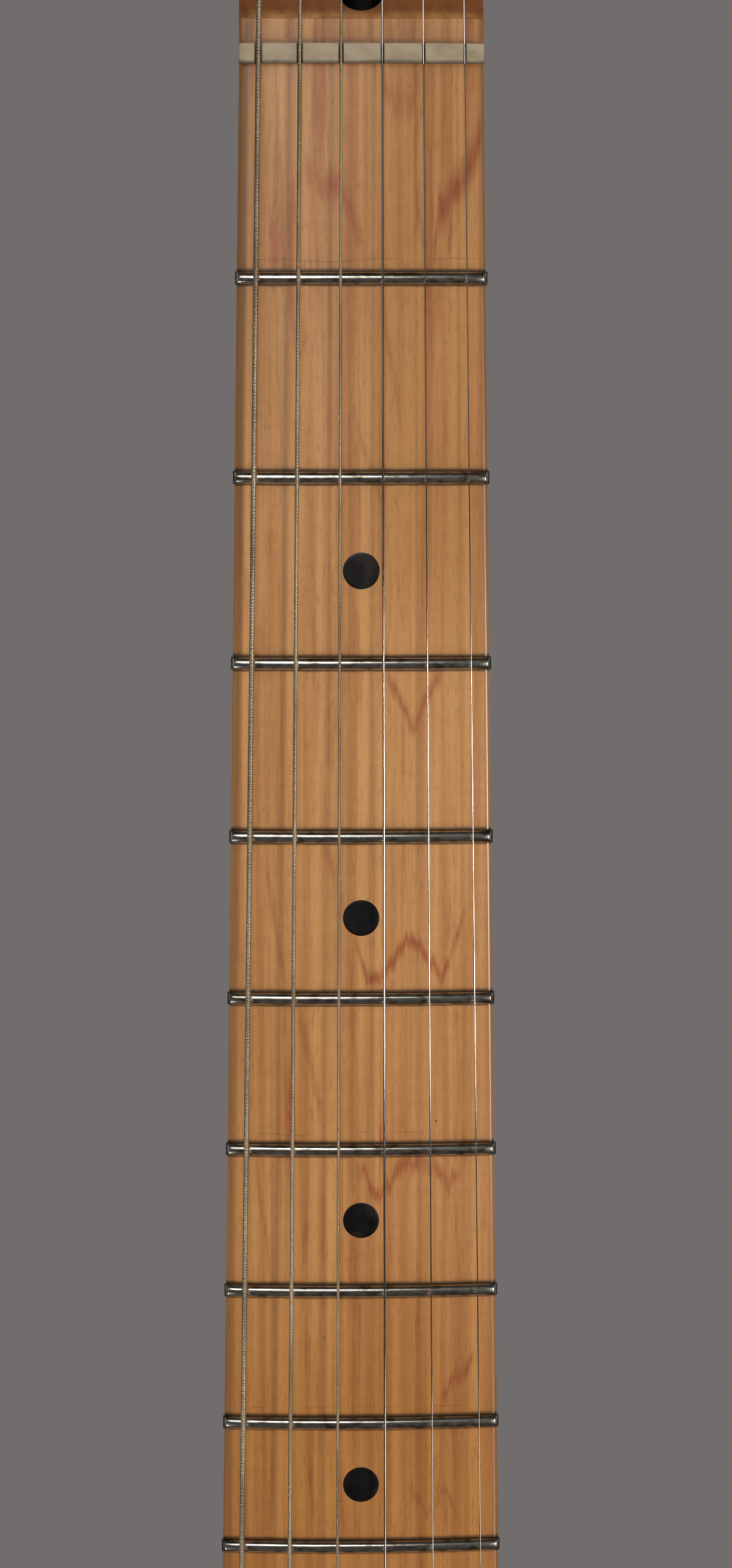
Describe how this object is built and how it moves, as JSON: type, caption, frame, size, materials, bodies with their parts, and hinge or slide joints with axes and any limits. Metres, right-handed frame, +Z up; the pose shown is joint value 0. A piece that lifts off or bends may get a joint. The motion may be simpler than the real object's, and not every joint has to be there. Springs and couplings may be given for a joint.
{
  "type": "electric guitar neck",
  "caption": "Bolt-on maple guitar neck with radiused board, frets, dot inlays, bone nut, in-line geared tuners, truss rod and strings.",
  "frame": {"origin": "middle of the heel's flat back face, the centre of its four screw holes", "axes": "+Z up the neck to the headstock, +Y out of the heel's back so that the fingerboard faces -Y, +X to the treble side"},
  "size_m": [0.0848, 0.0383, 0.8341],
  "materials": {
    "maple": "amber lacquer over flat-sawn maple, satin",
    "walnut": "lacquered, satin",
    "bone": "aged bone, hand filed",
    "fret_wire": "polished nickel silver",
    "inlay_black": "lacquered over",
    "string_wound": "round wound nickel on steel",
    "string_plain": "bright plain steel",
    "rod_steel": "dark oiled steel",
    "tuner_chrome": "polished chrome plate"
  },
  "bodies": {
    "root": {"neck": "maple", "nut": "bone", "truss_rod": "rod_steel", "filler_strip": "walnut", "fret_1": "fret_wire", "fret_2": "fret_wire", "fret_3": "fret_wire", "fret_4": "fret_wire", "fret_5": "fret_wire", "fret_6": "fret_wire", "fret_7": "fret_wire", "fret_8": "fret_wire", "fret_9": "fret_wire", "fret_10": "fret_wire", "fret_11": "fret_wire", "fret_12": "fret_wire", "fret_13": "fret_wire", "fret_14": "fret_wire", "fret_15": "fret_wire", "fret_16": "fret_wire", "fret_17": "fret_wire", "fret_18": "fret_wire", "fret_19": "fret_wire", "fret_20": "fret_wire", "fret_21": "fret_wire", "dot_3": "inlay_black", "dot_5": "inlay_black", "dot_7": "inlay_black", "dot_9": "inlay_black", "dot_12_bass": "inlay_black", "dot_12_treble": "inlay_black", "dot_15": "inlay_black", "dot_17": "inlay_black", "dot_19": "inlay_black", "dot_21": "inlay_black", "string_1": "string_wound", "string_2": "string_wound", "string_3": "string_wound", "string_4": "string_plain", "string_5": "string_plain", "string_6": "string_plain", "tuner_1_housing": "tuner_chrome", "tuner_2_housing": "tuner_chrome", "tuner_3_housing": "tuner_chrome", "tuner_4_housing": "tuner_chrome", "tuner_5_housing": "tuner_chrome", "tuner_6_housing": "tuner_chrome"},
    "button_1": {"tuner_1_button": "tuner_chrome"},
    "post_1": {"tuner_1_post": "tuner_chrome"},
    "button_2": {"tuner_2_button": "tuner_chrome"},
    "post_2": {"tuner_2_post": "tuner_chrome"},
    "button_3": {"tuner_3_button": "tuner_chrome"},
    "post_3": {"tuner_3_post": "tuner_chrome"},
    "button_4": {"tuner_4_button": "tuner_chrome"},
    "post_4": {"tuner_4_post": "tuner_chrome"},
    "button_5": {"tuner_5_button": "tuner_chrome"},
    "post_5": {"tuner_5_post": "tuner_chrome"},
    "button_6": {"tuner_6_button": "tuner_chrome"},
    "post_6": {"tuner_6_post": "tuner_chrome"},
    "truss_rod_nut": {"truss_rod_nut": "rod_steel"}
  },
  "joints": [
    {"name": "button_1_turn", "type": "hinge", "parent": "root", "child": "button_1", "pos_m": [-0.02169, 0.0011, 0.45867], "axis": [-0.9683, 0, 0.2498], "continuous": true},
    {"name": "post_1_turn", "type": "hinge", "parent": "root", "child": "post_1", "pos_m": [-0.02031, -0.0041, 0.464], "axis": [0, 1, 0], "continuous": true},
    {"name": "button_2_turn", "type": "hinge", "parent": "root", "child": "button_2", "pos_m": [-0.01451, 0.0011, 0.48407], "axis": [-0.9683, 0, 0.2498], "continuous": true},
    {"name": "post_2_turn", "type": "hinge", "parent": "root", "child": "post_2", "pos_m": [-0.01314, -0.0041, 0.4894], "axis": [0, 1, 0], "continuous": true},
    {"name": "button_3_turn", "type": "hinge", "parent": "root", "child": "button_3", "pos_m": [-0.00765, 0.0011, 0.50947], "axis": [-0.9683, 0, 0.2498], "continuous": true},
    {"name": "post_3_turn", "type": "hinge", "parent": "root", "child": "post_3", "pos_m": [-0.00628, -0.0041, 0.5148], "axis": [0, 1, 0], "continuous": true},
    {"name": "button_4_turn", "type": "hinge", "parent": "root", "child": "button_4", "pos_m": [-0.00108, 0.0011, 0.53487], "axis": [-0.9683, 0, 0.2498], "continuous": true},
    {"name": "post_4_turn", "type": "hinge", "parent": "root", "child": "post_4", "pos_m": [0.0003, -0.0041, 0.5402], "axis": [0, 1, 0], "continuous": true},
    {"name": "button_5_turn", "type": "hinge", "parent": "root", "child": "button_5", "pos_m": [0.00516, 0.0011, 0.56027], "axis": [-0.9683, 0, 0.2498], "continuous": true},
    {"name": "post_5_turn", "type": "hinge", "parent": "root", "child": "post_5", "pos_m": [0.00654, -0.0041, 0.5656], "axis": [0, 1, 0], "continuous": true},
    {"name": "button_6_turn", "type": "hinge", "parent": "root", "child": "button_6", "pos_m": [0.01108, 0.0011, 0.58567], "axis": [-0.9683, 0, 0.2498], "continuous": true},
    {"name": "post_6_turn", "type": "hinge", "parent": "root", "child": "post_6", "pos_m": [0.01245, -0.0041, 0.591], "axis": [0, 1, 0], "continuous": true},
    {"name": "truss_rod_nut_turn", "type": "hinge", "parent": "root", "child": "truss_rod_nut", "pos_m": [0, -0.0199, 0.4375], "axis": [0, -0.2419, 0.9703], "range_deg": [-180, 180]}
  ],
  "couplings": [
    {"joint": "post_1_turn", "follows": "button_1_turn", "ratio": -0.071429},
    {"joint": "post_2_turn", "follows": "button_2_turn", "ratio": -0.071429},
    {"joint": "post_3_turn", "follows": "button_3_turn", "ratio": -0.071429},
    {"joint": "post_4_turn", "follows": "button_4_turn", "ratio": -0.071429},
    {"joint": "post_5_turn", "follows": "button_5_turn", "ratio": -0.071429},
    {"joint": "post_6_turn", "follows": "button_6_turn", "ratio": -0.071429}
  ]
}
